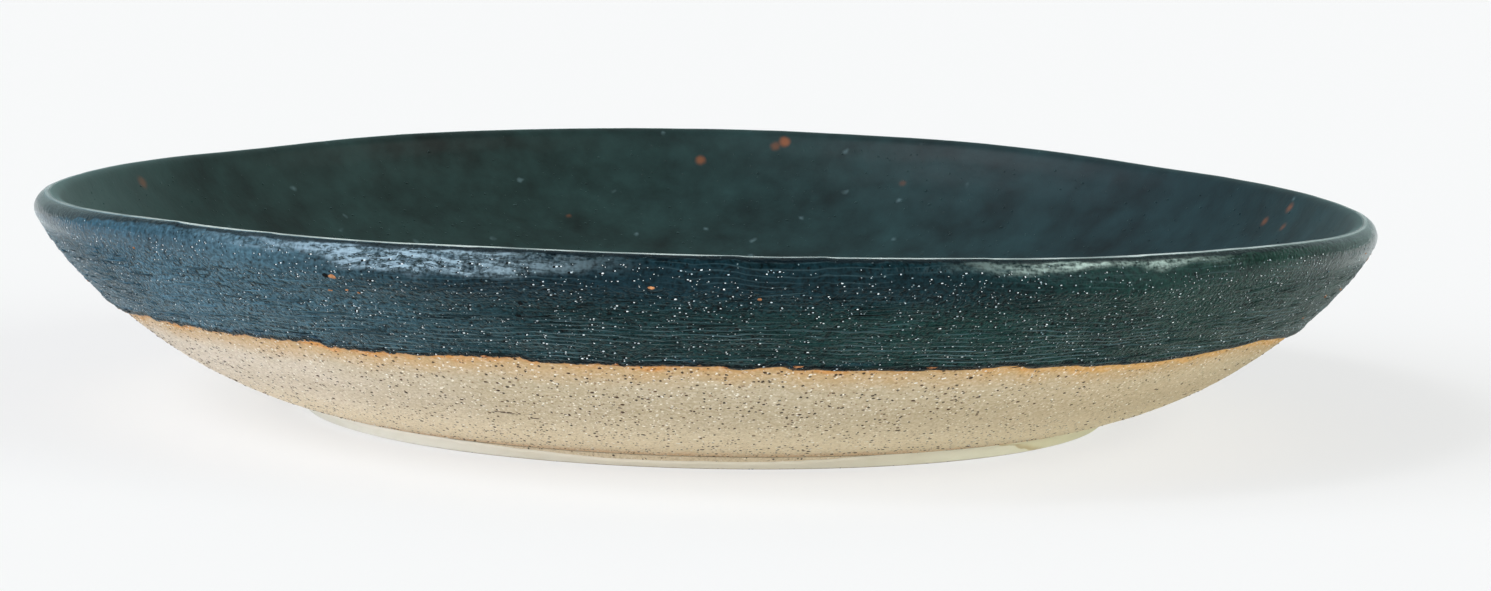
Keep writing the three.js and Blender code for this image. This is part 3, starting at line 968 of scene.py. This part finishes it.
# %% Brush the slip
SLIP_REACH = 16 * MM  # how far up the wall its rib goes
SLIP_LINE, SLIP_RADIUS = 4.1, 92.0  # mm along the rib to the slip's upper edge, and from the axis
SLIP_SWELLS = [
    (262, -1.9, 30),
    (282, -0.9, 16),
    (311, 1.8, 22),
    (150, -1.4, 30),
    (60, 1.3, 28),
    (20, -0.8, 20),
    (105, -0.9, 18),
]
slip_start = contact_outer + Vector((0.2, 0, 0.2)) * MM
slip_rib, _ = rib("slip_rib", [slip_start] + [p for p, run in zip(wall, runs) if run < SLIP_REACH])
tree, given, share, angle, _ = set_up("slip_band", {"Coat": "Float"})
line = swells(angle * math.degrees(1), SLIP_SWELLS)
line = line + noise(round_the_wall(angle, 0.0, SLIP_RADIUS), 6) * 0.7 + SLIP_LINE
along = share * line
body = band(line - along, 0.0, 0.6) * band(along, 0.0, 0.4)
outer = sheet(given["Rib"], given["Rows"], given["Columns"], along, body * given["Coat"])
inner = sheet(given["Rib"], given["Rows"], given["Columns"], along, body * -0.06, flip=True)
sew([outer, inner], given["Finish"])
slip_band = make(
    "slip_band",
    tree,
    {"Rib": slip_rib, "Columns": 721, "Rows": 26, "Coat": 0.28, "Finish": cream_slip},
)

# %% [markdown]
# ## What is strewn in the surface
# Grit lies in the clay by chance, in loose clouds. One tree strews it. It takes a finished piece,
# scatters points over the side that shows, between two heights above the glaze line, and puts half-sunk
# grains there, each turned to the surface and to the direction of the wheel. Most grains are small and
# few are large, as in any crushed stone. They have twenty faces each, because there are thousands. The
# same seed gives the same places again, and that is how each lump in the glaze gets a dark spot on its
# side, partly a hole and partly the lump's painted shade.

# %% Strew grains, lumps and pinholes
def strewn(name, wall_piece, finish, seed, per_cm2, sizes, above, **more):
    """Grains on a piece: so many on a square centimetre, between two heights in mm above the glaze line."""
    numbers = {
        "Per cm2": per_cm2,
        "Smallest": sizes[0],
        "Largest": sizes[1],
        "From": above[0],
        "To": above[1],
        "Side": 1.0,
        "Off the foot": -1.0,
        "Flatness": 0.4,
        "Length": 1.0,
        "Beside": 0.0,
        "Few on the right": 0.0,
        "Few underneath": 0.0,
        **more,
    }
    kinds = {"Wall": "Object", "Seed": "Int", "Finish": "Material", **{label: "Float" for label in numbers}}
    tree, given = new_tree(name, kinds)

    # Where grains may lie, and how many: in clouds 24 mm across, fewer to the right and underneath.
    surface = add(tree, "GeometryNodeObjectInfo", (given["Wall"],))["Geometry"]
    above_line = add(tree, "GeometryNodeInputNamedAttribute", ("above_line",), data_type="FLOAT")
    place = add(tree, "GeometryNodeInputNamedAttribute", ("wall_mm",), data_type="FLOAT_VECTOR")
    along = add(tree, SPLIT, (place,))["Z"]
    upward = add(tree, SPLIT, (add(tree, "GeometryNodeInputNormal"),))["Z"]
    here = add(tree, SPLIT, (add(tree, "GeometryNodeInputPosition"),))
    shown = above_line.math("GREATER_THAN", given["From"]) * above_line.math("LESS_THAN", given["To"])
    shown = shown * abs(along).math("GREATER_THAN", given["Off the foot"])
    shown = shown * (upward * given["Side"]).math("LESS_THAN", 0.35)
    clouds = noise(place, 24, detail=2, shift=float(seed)) * 1.6 + 0.95
    clouds = clouds * (1.0 - band(here["X"], 0.03, 0.095) * given["Few on the right"])
    clouds = clouds * (1.0 - along.math("LESS_THAN", 0.0) * given["Few underneath"])
    density = {"Mesh": surface, "Density": clouds * shown * given["Per cm2"] * 1e4, "Seed": given["Seed"]}
    points = add(tree, "GeometryNodeDistributePointsOnFaces", density, distribute_method="RANDOM")

    # Each one is turned to the surface and along the wheel's direction. Size and shape are drawn by lot.
    facing = add(tree, "FunctionNodeAlignRotationToVector", {"Vector": points["Normal"]}, axis="Z")
    tilts = {"Min": -0.02, "Max": 0.02, "Seed": given["Seed"]}
    tilt = add(tree, "FunctionNodeRandomValue", tilts, data_type="FLOAT")
    level = add(tree, JOIN, (here["Y"] * -1.0, here["X"], tilt))
    turned = {"Rotation": facing, "Vector": level}
    turned = add(tree, "FunctionNodeAlignRotationToVector", turned, axis="X", pivot_axis="Z")
    lots = {"Min": 0.0, "Max": 1.0, "Seed": given["Seed"]}
    lot = add(tree, "FunctionNodeRandomValue", lots, data_type="FLOAT")
    size = given["Smallest"] + lot**2.4 * (given["Largest"] - given["Smallest"])
    shapes = {"Min": (0.8, 0.55, 0.7), "Max": (1.5, 1.0, 1.3), "Seed": given["Seed"]}
    shape = add(tree, "FunctionNodeRandomValue", shapes, data_type="FLOAT_VECTOR")
    stretch = add(tree, JOIN, (given["Length"], 1.0, given["Flatness"]))
    shape = add(tree, VECTOR, (shape, stretch), operation="MULTIPLY")
    scale = add(tree, VECTOR, {0: shape, "Scale": size}, operation="SCALE")
    grain = add(tree, "GeometryNodeMeshIcoSphere", {"Radius": 0.5 * MM, "Subdivisions": 1})
    aside = add(tree, JOIN, {"X": given["Beside"] * MM})
    grain = add(tree, "GeometryNodeTransform", {"Geometry": grain, "Translation": aside})
    grains = {"Points": points, "Instance": grain, "Rotation": turned, "Scale": scale}
    sew([add(tree, "GeometryNodeInstanceOnPoints", grains)], given["Finish"])
    return make(name, tree, {"Wall": wall_piece, "Seed": seed, "Finish": finish, **numbers})


# From and to, in mm above the glaze line. The underside counts as far below it.
CLAY, GLAZED, STROKED, LINER = (-300.0, -0.6), (0.8, 26.0), (1.2, 20.0), (-60.0, 130.0)
bare = {"Off the foot": 1.0, "Few on the right": 0.5, "Few underneath": 0.6, "Flatness": 0.3}
iron = {**bare, "Length": 0.9}
iron_grains = strewn("iron_grains", clay_wall, iron_finish, 3, 19, (0.26, 0.85), CLAY, **iron)
clay_grains = strewn("fired_clay_grains", clay_wall, grog_finish, 11, 22, (0.22, 0.68), CLAY, **bare)
blisters = strewn("glaze_lumps", outside_coat, lump_glint_finish, 21, 32, (0.17, 0.44), GLAZED, Flatness=0.6)
# A dark spot beside each lump: partly a hole in the glaze, partly the lump's painted shade.
hole = {"Flatness": 0.2, "Beside": -0.7}
pinholes = strewn("pinholes", outside_coat, pinhole_and_shade_finish, 21, 32, (0.22, 0.55), GLAZED, **hole)
ridge = {"Flatness": 0.5, "Length": 20.0}
bristle_ridges = strewn("bristle_ridges", outside_coat, outside_finish, 41, 11, (0.3, 0.5), STROKED, **ridge)
inner = {"Side": -1.0, "Off the foot": 5.0, "Flatness": 0.5}
liner_lumps = strewn("liner_lumps", liner_coat, liner_finish, 31, 5, (0.35, 0.9), LINER, **inner)

# %% [markdown]
# ## Marks with a place of their own
# A few marks are large enough to be remembered: an orange chip with its shadow painted beside it as a
# dark pit, slivers of bare clay along the glaze's edge, black grains, and gouges where one of them was
# dragged by the turning tool.
# Each is written down as its angle, its distance along the rib and its size. A second tree puts a ragged
# pebble at each place. The ones round the sides and the back, where there is nothing to go by, are drawn
# by lot.

# %% Find a place, set the marks
IN_FRONT = 4  # mm out from the rib, where the search for the surface starts


def on_the_wall(piece, degrees, along):
    """The place on a finished piece next to a place on the outside rib, and the way that it faces there."""
    for before, after in zip(outside_points, outside_points[1:]):
        run = (after - before).length / MM
        if along <= run:
            spot = before.lerp(after, along / run) + outward(before, after) * IN_FRONT * MM
            break
        along -= run
    spot = Matrix.Rotation(math.radians(degrees), 3, "Z") @ spot
    _, place, normal, _ = piece.closest_point_on_mesh(spot)
    return place, normal


def set_marks(name, piece, finish, marks, ragged):
    """A pebble for each (degrees, mm along the rib, length, height, thickness), in mm."""
    found = [on_the_wall(piece, degrees, along) for degrees, along, *size in marks]
    spots = bpy.data.meshes.new("spots")
    spots.from_pydata([place for place, normal in found], [], [])
    facing = spots.attributes.new("facing", "FLOAT_VECTOR", "POINT")
    facing.data.foreach_set("vector", [x for place, normal in found for x in normal])
    extent = spots.attributes.new("extent", "FLOAT_VECTOR", "POINT")
    extent.data.foreach_set("vector", [x for degrees, along, *size in marks for x in size])
    holder = bpy.data.objects.new("spots", spots)
    bpy.context.scene.collection.objects.link(holder)

    tree, given = new_tree(name, {"Places": "Object", "Raggedness": "Float", "Finish": "Material"})
    points = add(tree, "GeometryNodeObjectInfo", (given["Places"],))["Geometry"]
    points = add(tree, "GeometryNodeMeshToPoints", (points,))
    normal = add(tree, "GeometryNodeInputNamedAttribute", ("facing",), data_type="FLOAT_VECTOR")
    size = add(tree, "GeometryNodeInputNamedAttribute", ("extent",), data_type="FLOAT_VECTOR")
    here = add(tree, "GeometryNodeInputPosition")
    corner = add(tree, SPLIT, (here,))
    level = add(tree, JOIN, (corner["Y"] * -1.0, corner["X"], 0.0))
    upright = add(tree, "FunctionNodeAlignRotationToVector", {"Vector": normal}, axis="Z")
    turned = {"Rotation": upright, "Vector": level}
    turned = add(tree, "FunctionNodeAlignRotationToVector", turned, axis="X", pivot_axis="Z")
    pebble = add(tree, "GeometryNodeMeshIcoSphere", {"Radius": 0.5 * MM, "Subdivisions": 3})
    chips = {"Points": points, "Instance": pebble, "Rotation": turned, "Scale": size}
    chips = add(tree, "GeometryNodeRealizeInstances", (add(tree, "GeometryNodeInstanceOnPoints", chips),))
    here_mm = add(tree, VECTOR, {0: here, "Scale": 1 / MM}, operation="SCALE")
    push = noise(here_mm, 0.8) * given["Raggedness"] * MM
    push = add(tree, VECTOR, {0: add(tree, "GeometryNodeInputNormal"), "Scale": push}, operation="SCALE")
    sew([add(tree, "GeometryNodeSetPosition", {"Geometry": chips, "Offset": push})], given["Finish"])
    piece = make(name, tree, {"Places": holder, "Raggedness": ragged, "Finish": finish})
    bpy.data.objects.remove(holder)
    return piece


# %% Where the marks are
RUST_AROUND, BLACK_AROUND = 24, 30  # how many round the sides and the back
RUST = [
    (241.0, 70.5, 2.0, 1.1, 0.35),
    (241.9, 67.0, 0.8, 0.5, 0.3),
    (242.8, 66.2, 0.7, 0.4, 0.3),
    (240.2, 66.8, 0.9, 0.3, 0.3),
    (266.0, 71.6, 1.3, 0.7, 0.3),
    (273.9, 69.6, 0.9, 0.6, 0.3),
    (218.5, 70.8, 0.9, 0.5, 0.3),
    (251.8, 51.3, 2.2, 0.45, 0.4),
    (277.6, 51.6, 2.2, 0.4, 0.4),
    (288.9, 50.8, 2.6, 0.5, 0.4),
    (271.3, 50.2, 1.2, 0.5, 0.35),
    (262.8, 50.6, 0.8, 0.5, 0.35),
]
# Dark spots: pits, and the first is the orange chip's painted shadow.
PITS_AND_SHADOW = [
    (240.45, 70.7, 1.6, 1.2, 0.2),
    (256.0, 66.2, 0.9, 1.1, 0.2),
    (255.5, 64.0, 1.3, 0.8, 0.2),
    (263, 58, 0.8, 0.7, 0.2),
]
BLACK = [
    (251.5, 40.4, 0.7, 0.6, 0.25),
    (262.3, 30.6, 0.8, 0.8, 0.25),
    (258.5, 18.7, 0.6, 0.7, 0.25),
    (247.3, 18.2, 0.7, 0.7, 0.25),
    (258.3, 31.3, 0.6, 0.6, 0.25),
    (252.0, 9.5, 0.9, 0.5, 0.25),
    (293.5, 32.9, 0.9, 0.6, 0.25),
    (293.3, 45.8, 0.8, 0.6, 0.25),
    (289.0, 43.4, 0.7, 0.5, 0.25),
    (302.8, 33.6, 0.7, 0.6, 0.25),
    (311.5, 30.7, 0.6, 0.7, 0.25),
    (306.5, 39.0, 0.5, 0.6, 0.25),
    (297.0, 40.2, 0.5, 0.5, 0.25),
    (303.8, 6.2, 1.2, 0.7, 0.25),
    (250.2, 27.4, 3.2, 0.35, 0.2),
    (250.9, 26.8, 2.0, 0.3, 0.2),
    (253.0, 25.1, 2.4, 0.35, 0.2),
]
for _ in range(RUST_AROUND):
    place = hand.uniform(-25, 200), hand.uniform(51, 74)
    RUST.append((*place, hand.uniform(0.5, 1.7), hand.uniform(0.3, 0.9), 0.3))
for _ in range(BLACK_AROUND):
    place = hand.uniform(-35, 215), hand.uniform(8, 44)
    BLACK.append((*place, hand.uniform(0.5, 2.2), hand.uniform(0.3, 0.8), 0.25))
rust_flecks = set_marks("rust_flecks", outside_coat, rust_finish, RUST, 0.7)
deep_pits = set_marks("deep_pits", outside_coat, pinhole_and_shade_finish, PITS_AND_SHADOW, 0.5)
black_grains = set_marks("black_grains", clay_wall, iron_finish, BLACK, 0.4)

for board in (outside_rib, inside_rib, under_rib, ring_rib, slip_rib):
    bpy.data.objects.remove(board)

# %% [markdown]
# ## Into the shared frame
# The platter doesn't move, so everything rides the root. Each of the five big pieces stands for its part
# of the imported model, which is hidden, and beside every piece the slot whose colour it would change with
# is printed.

# %% Ride, replace, print the slots
for piece, node, slot in (
    (clay_wall, "clay_body", "speckled_stoneware"),
    (outside_coat, "outside_glaze", "blue_glaze"),
    (liner_coat, "liner_glaze", "liner_glaze"),
    (foot, "foot_ring", "foot_clay"),
    (slip_band, "foot_slip", "pale_slip"),
    (iron_grains, None, "speckled_stoneware"),
    (clay_grains, None, "speckled_stoneware"),
    (black_grains, None, "speckled_stoneware"),
    (blisters, None, "blue_glaze"),
    (pinholes, None, "blue_glaze"),
    (bristle_ridges, None, "blue_glaze"),
    (rust_flecks, None, "blue_glaze"),
    (deep_pits, None, "blue_glaze"),
    (liner_lumps, None, "liner_glaze"),
):
    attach(piece, "root")
    if node:
        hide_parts(node)
    print(f"{piece.name}: {slot}")

# %% [markdown]
# ## Table and light
# The table is white paper that runs out of sight. It is matt, so it keeps the platter's soft shadow. For
# the camera alone it is mixed with an even white, so that it doesn't darken toward the back, and the room
# behind it is that white too. What lights the platter is a dim room with soft boxes in it: two tall ones
# in front, to the left and to the right, whose reflections add to the two bright patches below the lip
# that are also painted into the glaze, a low, wide and weaker one between them, and two dim ones behind.
# A small bright lamp high on the left gives the lumps in the glaze sparks, on top of their painted glints.

# %% Lay the table
HALF = 4.0  # metres, half the table's width
EVEN_WHITE, EVEN_SHARE = "#f7f7f7", 0.7  # its colour, and its share in what the camera sees of the table
corners = [(-HALF, -HALF, 0), (HALF, -HALF, 0), (HALF, HALF, 0), (-HALF, HALF, 0)]
floor_mesh = bpy.data.meshes.new("floor")
floor_mesh.from_pydata(corners, [], [(0, 1, 2, 3)])
floor = bpy.data.objects.new("floor", floor_mesh)
bpy.context.scene.collection.objects.link(floor)
paper, tree = new_material("white_paper")
seen = add(tree, "ShaderNodeLightPath")["Is Camera Ray"]
matt = add(tree, "ShaderNodeBsdfDiffuse", {"Color": "#f4f4f4"})
backdrop = add(tree, "ShaderNodeEmission", {"Color": EVEN_WHITE, "Strength": 1.0})
shown = add(tree, "ShaderNodeMixShader", (seen * EVEN_SHARE, matt, backdrop))
add(tree, "ShaderNodeOutputMaterial", {"Surface": shown})
floor_mesh.materials.append(paper)
print("table:", 2 * HALF, "m wide")

# %% Set the lights
# Azimuth anticlockwise from +X and elevation, how tall, how wide, all in degrees, then strength and colour.
LIGHTS = [
    ((208, 26), 34, 44, 5.0, "#eef5ff"),
    ((337, 24), 34, 36, 3.9, "#f4fff9"),
    ((270, 14), 28, 110, 1.2, "#fffaf5"),
    ((90, 10), 20, 120, 0.5, "#d5eeee"),
    ((90, 60), 40, 160, 0.3, "#ffffff"),
    ((215, 48), 5, 8, 16.0, "#ffffff"),
]
ROOM = 0.13  # how bright the room is between them
SOFT_EDGE = 8  # degrees

world = bpy.data.worlds.new("studio")
bpy.context.scene.world = world
world.use_nodes = True
tree = world.node_tree
tree.nodes.clear()
axes = add(tree, SPLIT, (add(tree, "ShaderNodeTexCoord")["Generated"],))
elevation = axes["Z"].math("ARCSINE") * math.degrees(1)
azimuth = axes["Y"].math("ARCTAN2", axes["X"]) * math.degrees(1)
light = add(tree, JOIN, (ROOM, ROOM, ROOM))
for at, tall, wide, strength, code in LIGHTS:
    aside = abs((azimuth - at[0]).math("WRAP", -180.0, 180.0))
    inside_box = band(aside, wide / 2 + SOFT_EDGE, wide / 2)
    inside_box = inside_box * band(abs(elevation - at[1]), tall / 2 + SOFT_EDGE, tall / 2)
    colour = [strength * c for c in linear(code)[:3]]
    glow = add(tree, VECTOR, {0: colour, "Scale": inside_box}, operation="SCALE")
    light = add(tree, VECTOR, (light, glow), operation="ADD")
seen = add(tree, "ShaderNodeLightPath")["Is Camera Ray"]
background = {"Color": over(seen, light, EVEN_WHITE), "Strength": 1.0}
background = add(tree, "ShaderNodeBackground", background)
add(tree, "ShaderNodeOutputWorld", {"Surface": background})
print("soft boxes and lamps:", len(LIGHTS))

# %% [markdown]
# ## Camera
# The camera's place, its small roll and the length of its lens were found by fitting the turned profile
# to the photo's outline: the two ends of the rim, the crest in front and behind, and the foot.

# %% Place the camera
CAMERA_DISTANCE, CAMERA_ELEVATION, CAMERA_ROLL = 0.92469, 8.387, 1.38  # metres, degrees, degrees
CAMERA_LENS, SENSOR_WIDTH = 98.83, 36  # mm
target = Vector((0.008745, 0, 0.0252))
camera_place = heading(180 - CAMERA_ELEVATION) * CAMERA_DISTANCE
camera_place = Vector((0, camera_place.x, camera_place.z))
ahead = (target - camera_place).normalized()
across = ahead.cross(Vector((0, 0, 1))).normalized()
upward = across.cross(ahead)
roll = math.radians(CAMERA_ROLL)
right = across * math.cos(roll) + upward * math.sin(roll)
top = upward * math.cos(roll) - across * math.sin(roll)
camera = bpy.data.objects.new("camera", bpy.data.cameras.new("camera"))
bpy.context.scene.collection.objects.link(camera)
looking = Matrix((right, top, -ahead)).transposed().to_4x4()
camera.matrix_world = Matrix.Translation(camera_place) @ looking
camera.data.lens = CAMERA_LENS
camera.data.sensor_width = SENSOR_WIDTH
camera.data.clip_start = 0.05
bpy.context.scene.camera = camera
bpy.context.scene.view_settings.view_transform = "Standard"
print("camera at", [round(x, 3) for x in camera_place])
